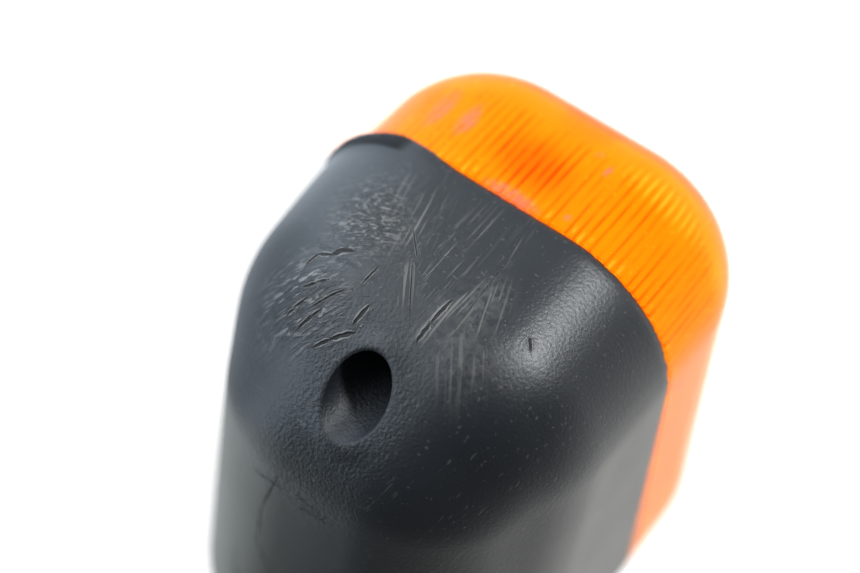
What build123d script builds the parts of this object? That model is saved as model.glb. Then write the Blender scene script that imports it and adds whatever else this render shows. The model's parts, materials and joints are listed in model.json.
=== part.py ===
from build123d import *
from math import cos, hypot, pi, radians, sin, tan
import os

# Motorcycle turn signal indicator: an amber lens on a black moulded housing, carried by a short
# rubber stalk that flexes, with a 21 W bayonet bulb inside. Millimetres.
#
# Frame: +X runs outboard along the stalk, +Y to the back of the lamp (the lens shines to -Y), +Z up.
# The origin is the centre of the stalk's mounting face, on the axis of the hollow mounting stud.
# A "depth" is a distance behind the housing's rim plane; depths inside the lens are negative.

# ---- driving dimensions -----------------------------------------------------------------------
RIM_LENGTH = 80.0            # housing rim and lens, along the stalk
RIM_HEIGHT = 53.0
RIM_OUTBOARD_X = 120.0       # outboard edge of the rim, from the mounting face
STALK_AXIS_DEPTH = 28.0      # stalk axis behind the rim plane
FORM_RADIUS = 18.5           # the housing is rounded by one rolling ball of this radius
HOUSING_DRAFT = 0.5          # degrees
SHOULDER_CUTS = (3.0, 0.3)   # flats on the core's long back edges: outboard end, inboard end
SHOULDER_STEEPNESS = 1.8     # depth of those flats over their width
CROWN_DEPTH = 37.0           # back of the housing, produced to the outboard edge
CROWN_SLOPE = 5.5            # degrees; the back deepens towards the stalk
FACET_SLOPE = 48.0           # degrees; the cut-away outboard end that holds the screw hole
HOUSING_WALL = 2.4
RIM_EDGE_RADIUS = 0.6

LENS_DEPTH = 24.9
LENS_EDGE_RADIUS = 14.9
LENS_DRAFT = 1.2             # degrees
LENS_WALL = 2.2
FLUTE_PITCH = 1.4
FLUTE_HEIGHT = 0.35

SCREW_INSET = 7.3            # lens screw axis, from the outboard edge
SCREW_HOLE_RADIUS = 4.1      # driver access hole
SCREW_HOLE_DEPTH = 31.0      # depth of the sloping facet on the screw axis
SCREW_SEAT_DEPTH = 8.7
SCREW_RADIUS = 2.0           # M4

NECK_RADIUS = 12.5
NECK_END_X = 30.0
NECK_BORE_RADIUS = 10.0
NECK_FILLET_RADIUS = 8.0     # where the neck runs into the rounded body
STALK_BASE_RADIUS = 15.0
STALK_WAIST_RADIUS = 10.5
STUD_RADIUS = 5.0            # M10
STUD_BORE_RADIUS = 3.0
STUD_REACH = 24.0            # mounting stud, beyond the mounting face
STUD_NOSE_RADIUS = 4.2       # plain nose that leads the bracket and nut onto the thread
STUD_NOSE_LENGTH = 4.0
BRACKET_GAP = 3.0            # room for the bracket that the stud clamps

BULB_RADIUS = 12.5
BULB_TIP_DEPTH = -19.0
BULB_CONTACT_DEPTH = 28.0    # overall length 47
CAP_RADIUS = 7.5             # BA15s
PIN_DEPTH = 21.0             # bayonet pins, 7 in front of the contact
BULB_PRESS = 1.5             # travel against the contact spring

WIRE_RADIUS = 1.0
WIRE_END_X = -78.0
WIRE_LANE = 1.25             # each wire's distance from the stalk axis
TERMINAL_LANE = 6.0
TERMINAL_RADIUS = 1.95       # 3.9 mm bullet
CRIMP_RADIUS = 1.6
SHEATH_END = 22.0            # vinyl sleeve, beyond the stud's tip

# ---- places worked out from them --------------------------------------------------------------
RIM_Y = -STALK_AXIS_DEPTH
RIM_INBOARD_X = RIM_OUTBOARD_X - RIM_LENGTH
RIM_CENTRE_X = (RIM_OUTBOARD_X + RIM_INBOARD_X) / 2
SCREW_X = RIM_OUTBOARD_X - SCREW_INSET

SKIRT_INSET = HOUSING_WALL + 0.25    # lens skirt, inside the housing wall
SKIRT_WALL = 1.6
SKIRT_DEPTH = 3.0
GASKET_DEPTH = 4.6                   # back of the gasket, front of the housing ledge
GASKET_INSET = 5.0
LEDGE_INSET = 5.2
LEDGE_DEPTH = 6.2                    # back of the ledge and end of the lens screw boss
BOSS_RADIUS = 4.6
BOSS_CLEARANCE = 0.2

REFLECTOR_INBOARD_X = RIM_INBOARD_X + 8.4
REFLECTOR_OUTBOARD_X = RIM_OUTBOARD_X - 14.8
BULB_X = (REFLECTOR_INBOARD_X + REFLECTOR_OUTBOARD_X) / 2
REFLECTOR_HEIGHT = 40.6
REFLECTOR_FRONT = 3.4
REFLECTOR_WALL = 1.6
REFLECTOR_MOUTH_RADIUS = 19.0
REFLECTOR_HOLE_RADIUS = 9.5
FILAMENT_DEPTH = BULB_TIP_DEPTH + 11.0
REFLECTOR_FOCAL = 17.0               # puts the focus on the filament
REFLECTOR_SCREWS = [(BULB_X - 24.0, 14.0), (BULB_X + 24.0, -14.0)]
TAPPING_SCREW_RADIUS = 1.25

SOCKET_INNER_RADIUS = CAP_RADIUS + 0.3
SOCKET_WALL = 0.6
SOCKET_OUTER_RADIUS = SOCKET_INNER_RADIUS + SOCKET_WALL
SOCKET_FRONT = 10.0
SOCKET_BACK = 34.8
RIVET_OFFSET = 12.0
EARTH_TAG_DEPTH = 26.0
DISC_FRONT = BULB_CONTACT_DEPTH + 0.8
DISC_BACK = DISC_FRONT + 1.4
PLUNGER_TAIL = DISC_BACK + 1.3
SPRING_WIRE = 0.3
SPRING_RADIUS = 5.6

NECK_WALL_X = NECK_END_X + 3.0       # inner face of the neck's end wall
MOUNT_DISC = (2.0, 4.0, 12.0)        # bonded disc: from X, to X, radius
HEAD_DISC = (26.0, 28.0, 9.5)
NUT_SIZE = 14.0                      # across flats
SPRING_WASHER_START = -BRACKET_GAP - 1.6 - 2.2
THROUGH = 60.0                       # long enough to pass right through the housing
HAIR = 0.01


# ---- helpers ----------------------------------------------------------------------------------
def depth_plane(depth, forward=False):
    """A plane square to the lamp's axis, centred on the rim; +Z of the plane points back or forward."""
    direction = (0, -1, 0) if forward else (0, 1, 0)
    return Plane(origin=(RIM_CENTRE_X, RIM_Y + depth, 0), x_dir=(1, 0, 0), z_dir=direction)


def rim_sketch(inset):
    """The rim's outline, moved inwards."""
    length = RIM_LENGTH - 2 * inset
    height = RIM_HEIGHT - 2 * inset
    return RectangleRounded(length, height, FORM_RADIUS - inset)


def rim_slab(inset, front, back):
    """A plate with the rim's outline between two depths."""
    return extrude(depth_plane(front) * rim_sketch(inset), amount=back - front)


def rim_ring(outer_inset, inner_inset, front, back):
    """A band that follows the rim between two depths."""
    return rim_slab(outer_inset, front, back) - rim_slab(inner_inset, front - 1, back + 1)


def bar_up(radius, height):
    """A round bar standing on the plane it is placed on."""
    return Cylinder(radius, height, align=(Align.CENTER, Align.CENTER, Align.MIN))


def rod_y(radius, front, back, x, z=0.0):
    """A round bar along the lamp's axis between two depths."""
    return Pos(x, RIM_Y + front, z) * Rot(-90, 0, 0) * bar_up(radius, back - front)


def rod_x(radius, start, end, y=0.0, z=0.0):
    """A round bar along the stalk's axis."""
    return Pos(start, y, z) * Rot(0, 90, 0) * bar_up(radius, end - start)


def turned_y(points, x=BULB_X, z=0.0):
    """A solid turned about the lamp's axis from (radius, depth) points joined by straight lines."""
    outline = Polyline(*[(radius, RIM_Y + depth) for radius, depth in points], close=True)
    return Pos(x, 0, z) * revolve(make_face(outline), Axis.Y)


def turned_x(points):
    """A solid turned about the stalk's axis from (X, radius) points joined by straight lines."""
    outline = Polyline(*points, close=True)
    return revolve(make_face(outline), Axis.X)


def swept(path, radius):
    """A round bar that follows a path."""
    profile = Plane(origin=path @ 0, z_dir=path % 0) * Circle(radius)
    return sweep(profile, path=path)


def hex_nut(across_flats, start, end, bore):
    """A chamfered hexagon nut on the stalk's axis."""
    blank = RegularPolygon(across_flats / 2, 6, major_radius=False)
    nut = extrude(Plane(origin=(start, 0, 0), z_dir=(1, 0, 0)) * blank, amount=end - start)
    corner = across_flats / 2 / cos(radians(30))
    drop = (corner - across_flats / 2) * 0.6
    cone = turned_x([(start, 0), (start, across_flats / 2), (start + drop, corner + HAIR),
                     (end - drop, corner + HAIR), (end, across_flats / 2), (end, 0)])
    return (nut & cone) - rod_x(bore, start - 1, end + 1)


# ---- housing ----------------------------------------------------------------------------------
def back_profile():
    """The housing core's back on its mid plane: (distance inboard, depth) where its flats meet."""
    reach = 30.0
    facet = tan(radians(FACET_SLOPE))
    facet_start = SCREW_HOLE_DEPTH - SCREW_INSET * facet - FORM_RADIUS / cos(radians(FACET_SLOPE))
    crown = tan(radians(CROWN_SLOPE))
    crown_start = CROWN_DEPTH - FORM_RADIUS / cos(radians(CROWN_SLOPE))
    meeting = (crown_start - facet_start) / (facet - crown)
    far = RIM_LENGTH + reach
    return [(-reach, facet_start - reach * facet), (meeting, facet_start + meeting * facet),
            (far, crown_start + far * crown)]


def shoulder_plane(side):
    """Plane of the flat between the crown and one side wall of the core, facing outwards."""
    outboard_cut, inboard_cut = SHOULDER_CUTS
    corner, crown_end = back_profile()[1:]
    half_width = RIM_HEIGHT / 2 - FORM_RADIUS

    def on_back(point, cut):
        inboard, depth = point
        return Vector(RIM_OUTBOARD_X - inboard, RIM_Y + depth, side * (half_width - cut))

    outboard_top = on_back(corner, outboard_cut)
    inboard_top = on_back(crown_end, inboard_cut)
    foot = outboard_top + Vector(0, -SHOULDER_STEEPNESS * outboard_cut, side * outboard_cut)
    along = inboard_top - outboard_top
    outward = along.cross(foot - outboard_top) * side
    return Plane(origin=outboard_top, x_dir=along, z_dir=outward)


def form_core():
    """The flat-sided core of the housing; a ball rolled round it gives the moulded outside."""
    reach = 30.0
    growth = reach * tan(radians(HOUSING_DRAFT))
    shrink = 2 * FORM_RADIUS - 2 * growth
    base = Rectangle(RIM_LENGTH - shrink, RIM_HEIGHT - shrink)
    block = extrude(depth_plane(-reach) * base, amount=3 * reach, taper=HOUSING_DRAFT)

    back = back_profile()
    outline = [(back[0][0], -4 * reach)] + back + [(back[-1][0], -4 * reach)]
    corners = [(RIM_OUTBOARD_X - inboard, RIM_Y + depth) for inboard, depth in outline]
    side_view = Polyline(*corners, close=True)
    core = block & extrude(make_face(side_view), amount=RIM_HEIGHT, both=True)
    for side in (-1, 1):
        core = split(core, bisect_by=shoulder_plane(side), keep=Keep.BOTTOM)
    return core


def form(inset, front=0.0):
    """The housing's outside, moved inwards by the inset and cut off square at a depth."""
    rounded = offset(form_core(), amount=FORM_RADIUS - inset, kind=Kind.ARC)
    keep = Box(3 * RIM_LENGTH, 100, 3 * RIM_HEIGHT, align=(Align.CENTER, Align.MIN, Align.CENTER))
    return rounded & Pos(RIM_CENTRE_X, RIM_Y + front, 0) * keep


def on_screw_hole_mouth(edge):
    """True for the edge where the driver access hole comes out of the sloping facet."""
    middle = edge.position_at(0.5)
    on_wall = abs(hypot(middle.X - SCREW_X, middle.Z) - SCREW_HOLE_RADIUS) < 0.02
    return on_wall and middle.Y > RIM_Y + SCREW_SEAT_DEPTH + 5 and edge.geom_type != GeomType.LINE


def on_neck_seam(edge):
    """True for an edge where the neck's outside meets the rounded body."""
    middle = edge.position_at(0.5)
    on_neck = abs(hypot(middle.Y, middle.Z) - NECK_RADIUS) < 0.05
    return on_neck and middle.X > NECK_END_X + 1 and edge.geom_type != GeomType.LINE


def housing():
    body = form(0.0)
    rim_edges = body.edges().group_by(Axis.Y)[0]
    body = fillet(rim_edges, RIM_EDGE_RADIUS)
    body = body + rod_x(NECK_RADIUS, NECK_END_X, RIM_INBOARD_X + 12)
    body = fillet([edge for edge in body.edges() if on_neck_seam(edge)], NECK_FILLET_RADIUS)

    cavity = form(HOUSING_WALL, -1.0)
    shell = body - cavity
    shell -= rod_x(NECK_BORE_RADIUS, NECK_WALL_X, RIM_INBOARD_X + 10)
    shell -= rod_x(STUD_RADIUS + 0.1, NECK_END_X - 1, NECK_WALL_X + 1)

    inside = form(HOUSING_WALL / 2)
    ledge = (rim_slab(HOUSING_WALL / 2, GASKET_DEPTH, LEDGE_DEPTH)
             - rim_slab(LEDGE_INSET, GASKET_DEPTH - 1, LEDGE_DEPTH + 1))
    ledge += rod_y(BOSS_RADIUS + 2.4, GASKET_DEPTH, LEDGE_DEPTH, SCREW_X)
    screw_tube = rod_y(SCREW_HOLE_RADIUS + 1.6, LEDGE_DEPTH, THROUGH, SCREW_X)
    posts = [rod_y(3.0, REFLECTOR_FRONT + REFLECTOR_WALL, THROUGH, x, z) for x, z in REFLECTOR_SCREWS]
    shell += [ledge & inside, screw_tube & inside] + [post & inside for post in posts]

    shell -= rod_y(BOSS_RADIUS + BOSS_CLEARANCE, GASKET_DEPTH - 1, LEDGE_DEPTH, SCREW_X)
    shell -= rod_y(SCREW_RADIUS + 0.2, LEDGE_DEPTH - 1, SCREW_SEAT_DEPTH + 1, SCREW_X)
    shell -= rod_y(SCREW_HOLE_RADIUS, SCREW_SEAT_DEPTH, THROUGH, SCREW_X)
    for x, z in REFLECTOR_SCREWS:
        pilot_end = REFLECTOR_FRONT + REFLECTOR_WALL + 12
        shell -= rod_y(TAPPING_SCREW_RADIUS, REFLECTOR_FRONT, pilot_end, x, z)
    return fillet([edge for edge in shell.edges() if on_screw_hole_mouth(edge)], 0.3)


# ---- lens and its fastening -------------------------------------------------------------------
def lens_form(inset):
    """The lens's outside, moved inwards."""
    base = depth_plane(0, forward=True) * rim_sketch(inset)
    cup = extrude(base, amount=LENS_DEPTH - inset, taper=LENS_DRAFT)
    return fillet(cup.edges().group_by(Axis.Y)[0], LENS_EDGE_RADIUS - inset)


def fluted_band(inset, front, back):
    """Fine ribs round the inside of the lens wall: a band whose inner side is a chain of arcs."""
    outline = rim_sketch(inset).wire()
    count = round(outline.length / FLUTE_PITCH)
    ends = [outline @ (i / count) for i in range(count)]
    middles = [outline @ ((i + 0.5) / count) for i in range(count)]
    tangents = [outline % ((i + 0.5) / count) for i in range(count)]
    arcs = []
    for i in range(count):
        crest = middles[i] + FLUTE_HEIGHT * Vector(-tangents[i].Y, tangents[i].X, 0)
        arcs.append(ThreePointArc(ends[i], crest, ends[(i + 1) % count]))
    band = rim_sketch(inset - 1.2) - make_face(arcs)
    return extrude(depth_plane(front) * band, amount=back - front)


def front_ribs():
    """Upright half-round ribs on the inside of the lens's front wall."""
    pitch = 2.5
    start = RIM_INBOARD_X + LENS_EDGE_RADIUS
    count = 19
    base = RIM_Y - LENS_DEPTH + LENS_WALL
    arcs = []
    for i in range(count):
        left = (start + i * pitch, base)
        right = (start + (i + 1) * pitch, base)
        arcs.append(ThreePointArc(left, (start + (i + 0.5) * pitch, base + 0.5), right))
    end = start + count * pitch
    arcs.append(Polyline((end, base), (end, base - 0.6), (start, base - 0.6), (start, base)))
    return extrude(make_face(arcs), amount=RIM_HEIGHT / 2 - LENS_EDGE_RADIUS, both=True)


def lens():
    shell = lens_form(0.0) - lens_form(LENS_WALL)
    shoulder = rim_ring(LENS_WALL - 0.8, SKIRT_INSET + SKIRT_WALL, -2.0, 0.0)
    skirt = rim_ring(SKIRT_INSET, SKIRT_INSET + SKIRT_WALL, -1.0, SKIRT_DEPTH)
    boss = rod_y(BOSS_RADIUS, -LENS_DEPTH, LEDGE_DEPTH, SCREW_X)
    boss -= rod_y(BOSS_RADIUS + 1, -LENS_DEPTH - 1, -2, SCREW_X) - lens_form(LENS_WALL / 2)
    flutes = fluted_band(LENS_WALL + 0.25, -LENS_DEPTH + LENS_EDGE_RADIUS - 3.0, -2.0)

    hook_x = RIM_INBOARD_X + LEDGE_INSET + 0.2
    tongue = Box(1.6, 12.2, 12, align=(Align.MIN, Align.MIN, Align.CENTER))
    bridge = Box(5.6, 3.0, 12, align=(Align.MAX, Align.MIN, Align.CENTER))
    barb = Box(3.4, 1.6, 12, align=(Align.MAX, Align.MIN, Align.CENTER))
    hook = Pos(hook_x, RIM_Y - 4.0, 0) * tongue
    hook += Pos(hook_x + 1.6, RIM_Y - 4.0, 0) * bridge
    hook += Pos(hook_x + 1.6, RIM_Y + LEDGE_DEPTH + 0.15, 0) * barb

    body = shell + [shoulder, skirt, boss, flutes, front_ribs(), hook]
    return body - rod_y(SCREW_RADIUS, -12.0, LEDGE_DEPTH + 1, SCREW_X)


def lens_gasket():
    ring = rim_ring(SKIRT_INSET, GASKET_INSET, SKIRT_DEPTH, GASKET_DEPTH)
    eyelet = rod_y(BOSS_RADIUS + 2.2, SKIRT_DEPTH, GASKET_DEPTH, SCREW_X) & rim_slab(SKIRT_INSET, 0, 10)
    return ring + eyelet - rod_y(BOSS_RADIUS + BOSS_CLEARANCE, 0, 10, SCREW_X)


def cross_recess(radius, depth, head_back, x, z):
    """A cross-shaped driver recess in a screw head whose top faces back."""
    arm = Box(2 * radius, depth, radius * 0.45, align=(Align.CENTER, Align.MAX, Align.CENTER))
    cross = arm + Rot(0, 90, 0) * arm
    return Pos(x, RIM_Y + head_back, z) * cross


def lens_screw():
    seat = SCREW_SEAT_DEPTH + 0.8
    head_back = seat + 2.6
    outline = [(0, seat), (3.7, seat), (3.7, head_back - 0.9), (2.9, head_back), (0, head_back)]
    head = turned_y(outline, SCREW_X)
    shank = rod_y(SCREW_RADIUS, -9.0, seat, SCREW_X)
    return head + shank - cross_recess(2.0, 1.5, head_back, SCREW_X, 0)


def lens_screw_washer():
    seat = SCREW_SEAT_DEPTH
    hole = rod_y(SCREW_RADIUS + 0.1, seat - 1, seat + 2, SCREW_X)
    return rod_y(3.9, seat, seat + 0.8, SCREW_X) - hole


# ---- reflector --------------------------------------------------------------------------------
def dish_depth(radius):
    """Depth of the reflector's paraboloid surface, whose focus is the bulb's filament."""
    vertex = FILAMENT_DEPTH + REFLECTOR_FOCAL
    return vertex - radius ** 2 / (4 * REFLECTOR_FOCAL)


def paraboloid(shift, hole, mouth):
    """The solid in front of the dish surface, moved back by the shift, from hole radius to mouth."""
    radii = [hole + (mouth - hole) * i / 6 for i in range(7)]
    curve = Spline(*[(radius, RIM_Y + dish_depth(radius) + shift) for radius in radii])
    front = RIM_Y + REFLECTOR_FRONT - 5
    closing = Polyline(curve @ 1, (mouth, front), (0, front), (0, (curve @ 0).Y), curve @ 0)
    return Pos(BULB_X, 0, 0) * revolve(make_face([curve, closing]), Axis.Y)


def reflector():
    length = REFLECTOR_OUTBOARD_X - REFLECTOR_INBOARD_X
    outline = RectangleRounded(length, REFLECTOR_HEIGHT, FORM_RADIUS - LEDGE_INSET - 1.0)
    front = Plane(origin=(BULB_X, RIM_Y + REFLECTOR_FRONT, 0), x_dir=(1, 0, 0), z_dir=(0, 1, 0))
    plate = extrude(front * outline, amount=REFLECTOR_WALL)
    bowl = paraboloid(REFLECTOR_WALL, REFLECTOR_HOLE_RADIUS, REFLECTOR_MOUTH_RADIUS + REFLECTOR_WALL)
    bowl &= rod_y(40, REFLECTOR_FRONT, 40, BULB_X)
    body = plate + bowl
    for side in (-1, 1):
        body += rod_y(2.6, REFLECTOR_FRONT + 2, SOCKET_FRONT, BULB_X + side * RIVET_OFFSET)
    body -= paraboloid(0.0, REFLECTOR_HOLE_RADIUS, REFLECTOR_MOUTH_RADIUS)
    body -= rod_y(REFLECTOR_HOLE_RADIUS, 0, 20, BULB_X)
    for side in (-1, 1):
        body -= rod_y(1.2, 0, 20, BULB_X + side * RIVET_OFFSET)
    for x, z in REFLECTOR_SCREWS:
        body -= rod_y(1.5, 0, 10, x, z)
    return body


def reflector_screws():
    """Two pan head screws, heads towards the lens."""
    screws = []
    for x, z in REFLECTOR_SCREWS:
        top = REFLECTOR_FRONT - 1.8
        outline = [(0, top), (2.0, top), (2.6, top + 0.6), (2.6, REFLECTOR_FRONT), (0, REFLECTOR_FRONT)]
        head = turned_y(outline, x, z)
        shank = rod_y(TAPPING_SCREW_RADIUS, REFLECTOR_FRONT, REFLECTOR_FRONT + 11, x, z)
        recess = cross_recess(1.4, 1.0, top + 1.0, x, z)
        screws.append(head + shank - recess)
    return Compound(children=screws)


# ---- bulb -------------------------------------------------------------------------------------
def bulb_outline(inset):
    """Half outline of the glass: a ball that narrows to the neck, as a face in the plane X, Y."""
    ball_radius = BULB_RADIUS - inset
    neck_radius = CAP_RADIUS - 0.7 - inset
    centre = RIM_Y + BULB_TIP_DEPTH + BULB_RADIUS
    neck_front = RIM_Y + 9.0
    neck_back = RIM_Y + SOCKET_FRONT + 5.0
    tip = (0, centre - ball_radius)
    side = (ball_radius, centre)
    diagonal = ball_radius * sin(pi / 4)
    edge = ThreePointArc(tip, (diagonal, centre - diagonal), side)
    flank = Spline(side, (neck_radius, neck_front), tangents=[(0, 1), (0, 1)])
    rest = Polyline((neck_radius, neck_front), (neck_radius, neck_back), (0, neck_back), tip)
    return make_face([edge, flank, rest])


def bulb_glass():
    solid = revolve(bulb_outline(0.0), Axis.Y) - revolve(bulb_outline(0.7), Axis.Y)
    return Pos(BULB_X, 0, 0) * solid


def bulb_cap():
    front = SOCKET_FRONT + 3.0
    back = BULB_CONTACT_DEPTH - 3.2
    shell = rod_y(CAP_RADIUS, front, back, BULB_X)
    shell -= rod_y(CAP_RADIUS - 0.4, front - 1, back + 1, BULB_X)
    for side in (-1, 1):
        pin = bar_up(1.0, 1.4)
        turn = Rot(0, 0, 0) if side > 0 else Rot(180, 0, 0)
        shell += Pos(BULB_X, RIM_Y + PIN_DEPTH, side * (CAP_RADIUS - 0.3)) * turn * pin
    return shell


def bulb_base_insulator():
    """The black glass bead that closes the cap and holds the contact."""
    front = BULB_CONTACT_DEPTH - 6.0
    step = BULB_CONTACT_DEPTH - 3.2
    back = BULB_CONTACT_DEPTH - 1.2
    radius = CAP_RADIUS - 0.4
    bead = turned_y([(0, front), (radius, front), (radius, step), (4.0, back), (0, back)])
    return bead - rod_y(2.0, back - 1.4, back + 1, BULB_X)


def bulb_contact():
    front = BULB_CONTACT_DEPTH - 2.6
    back = BULB_CONTACT_DEPTH
    return turned_y([(0, front), (2.0, front), (2.0, back - 0.6), (1.3, back), (0, back)])


def bulb_glass_mount():
    """The pinched glass stem inside the bulb that carries the filament's lead wires."""
    front = 3.5
    back = SOCKET_FRONT + 4.3
    stem = turned_y([(0, front), (2.4, front), (2.6, back - 3), (5.4, back), (0, back)])
    pinch = Pos(BULB_X, RIM_Y + front, 0) * Box(9, 5, 2.2, align=(Align.CENTER, Align.MIN, Align.CENTER))
    body = stem + (pinch & rod_y(3.6, front, front + 5, BULB_X))
    for side in (-1, 1):
        body -= rod_y(0.35, front - 1, front + 3, BULB_X + side * 2.4)
    return body


def bulb_lead_wires():
    """Two bent wires that rise from the glass stem and hold the filament's ends."""
    radius = 0.3
    leads = []
    for side in (-1, 1):
        root = Vector(BULB_X + side * 2.4, RIM_Y + 6.5, 0)
        wrist = Vector(BULB_X + side * 2.4, RIM_Y + 2.0, 0)
        tip = Vector(BULB_X + side * 3.2, RIM_Y + FILAMENT_DEPTH - 0.4, 0)
        lower = Plane(origin=root, z_dir=wrist - root) * bar_up(radius, (wrist - root).length)
        upper = Plane(origin=wrist, z_dir=tip - wrist) * bar_up(radius, (tip - wrist).length)
        leads.append(lower + upper + Pos(*wrist) * Sphere(radius))
    return Compound(children=leads)


def bulb_filament():
    """The coiled filament, between the tips of the lead wires."""
    half = 2.7
    path = Helix(pitch=0.8, height=2 * half, radius=0.55, center=(0, 0, 0), direction=(1, 0, 0))
    return Pos(BULB_X - half, RIM_Y + FILAMENT_DEPTH, 0) * swept(path, 0.17)


# ---- socket -----------------------------------------------------------------------------------
def bayonet_slot():
    """One J-shaped slot: entry from the front, a short turn, and a notch where the pin rests."""
    reach = SOCKET_OUTER_RADIUS + 2
    width = 2.3
    turn = 24.0
    bottom = PIN_DEPTH + BULB_PRESS + 1.15
    notch_front = PIN_DEPTH - 1.05
    channel_front = PIN_DEPTH + BULB_PRESS - 1.15

    def channel(front, back, angle):
        block = Box(width, back - front, reach, align=(Align.CENTER, Align.MIN, Align.MIN))
        return Rot(0, angle, 0) * Pos(0, RIM_Y + front, 0) * block

    steps = [channel(channel_front, bottom, turn * i / 4) for i in range(5)]
    return channel(SOCKET_FRONT - 1, bottom, turn) + channel(notch_front, bottom, 0) + steps


def bulb_socket():
    """Steel shell with a riveted flange, an inward-curled back and two bayonet slots."""
    outer = SOCKET_OUTER_RADIUS
    inner = SOCKET_INNER_RADIUS
    flange = 15.0
    flange_back = SOCKET_FRONT + 0.8
    curl = 3.2
    profile = [(outer, SOCKET_FRONT), (flange, SOCKET_FRONT), (flange, flange_back),
               (outer, flange_back), (outer, SOCKET_BACK), (curl, SOCKET_BACK),
               (curl, SOCKET_BACK - SOCKET_WALL), (inner, SOCKET_BACK - SOCKET_WALL),
               (inner, SOCKET_FRONT)]
    shell = turned_y(profile)
    slot = Pos(BULB_X, 0, 0) * bayonet_slot()
    across = Pos(BULB_X, 0, 0) * Rot(0, 180, 0) * bayonet_slot()
    shell = shell - slot - across
    for side in (-1, 1):
        shell -= rod_y(1.2, SOCKET_FRONT - 1, SOCKET_FRONT + 2, BULB_X + side * RIVET_OFFSET)
    tag = Box(5.0, 4.0, 0.8, align=(Align.MAX, Align.CENTER, Align.CENTER))
    return shell + Pos(BULB_X - outer + 0.3, RIM_Y + EARTH_TAG_DEPTH, 0) * tag


def socket_rivets():
    """Two tubular rivets that hold the socket to the reflector."""
    rivets = []
    for side in (-1, 1):
        x = BULB_X + side * RIVET_OFFSET
        dish = dish_depth(RIVET_OFFSET - 1.2)
        flange_back = SOCKET_FRONT + 0.8
        shank = rod_y(1.2, dish, flange_back, x)
        back_head = turned_y([(0, flange_back), (2.1, flange_back), (1.4, flange_back + 0.9),
                              (0, flange_back + 0.9)], x)
        rivets.append(shank + back_head - rod_y(0.6, dish - 1, SOCKET_FRONT, x))
    return Compound(children=rivets)


def contact_insulator():
    """Phenolic disc that slides in the socket behind the bulb."""
    disc = rod_y(SOCKET_INNER_RADIUS - 0.1, DISC_FRONT, DISC_BACK, BULB_X)
    return disc - rod_y(1.5, DISC_FRONT - 1, DISC_BACK + 1, BULB_X)


def contact_plunger():
    """Brass contact: a domed head in front of the disc and a solder tail behind it."""
    head = turned_y([(0, BULB_CONTACT_DEPTH), (2.4, BULB_CONTACT_DEPTH), (2.8, DISC_FRONT),
                     (0, DISC_FRONT)])
    tail = rod_y(1.5, DISC_FRONT, DISC_BACK, BULB_X)
    clinch = rod_y(2.1, DISC_BACK, DISC_BACK + 0.6, BULB_X)
    cup = rod_y(1.5, DISC_BACK + 0.6, PLUNGER_TAIL, BULB_X)
    return head + tail + clinch + cup


def contact_spring():
    """Open compression spring between the disc and the socket's back."""
    height = SOCKET_BACK - SOCKET_WALL - DISC_BACK - 2 * SPRING_WIRE
    path = Helix(height / 2.5, height, SPRING_RADIUS, center=(0, 0, 0), direction=(0, 1, 0))
    return Pos(BULB_X, RIM_Y + DISC_BACK + SPRING_WIRE, 0) * swept(path, SPRING_WIRE)


# ---- stalk and mounting -----------------------------------------------------------------------
def disc_on_rod(disc, stud_start, stud_end):
    """A round disc, to be bonded into the rubber, with a plain rod for its stud."""
    start, end, radius = disc
    return rod_x(radius, start, end) + rod_x(STUD_RADIUS, stud_start, stud_end)


def mounting_stud():
    """Hollow stud whose thread ends in a thinner plain nose."""
    thread_end = -STUD_REACH + STUD_NOSE_LENGTH
    body = disc_on_rod(MOUNT_DISC, thread_end, MOUNT_DISC[1])
    circles = body.edges().filter_by(GeomType.CIRCLE).sort_by(Axis.X)
    body = chamfer(circles[0], STUD_RADIUS - STUD_NOSE_RADIUS - HAIR)
    body += chamfer_tip(rod_x(STUD_NOSE_RADIUS, -STUD_REACH, thread_end))
    return body - rod_x(STUD_BORE_RADIUS, -STUD_REACH - 1, MOUNT_DISC[1] + 1)


def chamfer_tip(rod):
    """Breaks the edge at the rod's end that points away from the lamp."""
    return chamfer(rod.edges().filter_by(GeomType.CIRCLE).sort_by(Axis.X)[0], 0.6)


def head_stud():
    """Hollow stud that the housing's neck is clamped on."""
    stud_end = NECK_WALL_X + 8.0
    body = disc_on_rod(HEAD_DISC, HEAD_DISC[0], stud_end)
    circles = body.edges().filter_by(GeomType.CIRCLE).sort_by(Axis.X)
    body = chamfer(circles[-1], 0.8)
    return body - rod_x(STUD_BORE_RADIUS, HEAD_DISC[0] - 1, stud_end + 1)


def rubber_stalk():
    """Rubber moulding with a wide foot, a ribbed waist and an end as wide as the housing's neck."""
    waist = STALK_WAIST_RADIUS
    foot = STALK_BASE_RADIUS
    outline = [(0, STUD_BORE_RADIUS), (0, foot - 1), (1, foot), (4.5, foot)]
    ribs = 4
    first = 8.0
    pitch = (24.0 - first) / ribs
    for i in range(ribs):
        x = first + i * pitch
        outline += [(x, waist), (x + 0.3 * pitch, waist - 1.2), (x + 0.7 * pitch, waist - 1.2)]
    outline += [(first + ribs * pitch, waist), (27.0, NECK_RADIUS), (NECK_END_X, NECK_RADIUS),
                (NECK_END_X, STUD_BORE_RADIUS)]
    body = turned_x(outline)
    mount_pocket = disc_on_rod(MOUNT_DISC, -1, MOUNT_DISC[1])
    head_pocket = disc_on_rod(HEAD_DISC, HEAD_DISC[0], NECK_END_X + 1)
    return body - mount_pocket - head_pocket


def head_stud_washer():
    return rod_x(8.5, NECK_WALL_X, NECK_WALL_X + 1.2) - rod_x(STUD_RADIUS + 0.2, 0, 60)


def head_stud_nut():
    return hex_nut(NUT_SIZE, NECK_WALL_X + 1.2, NECK_WALL_X + 6.2, STUD_RADIUS + 0.02)


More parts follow.
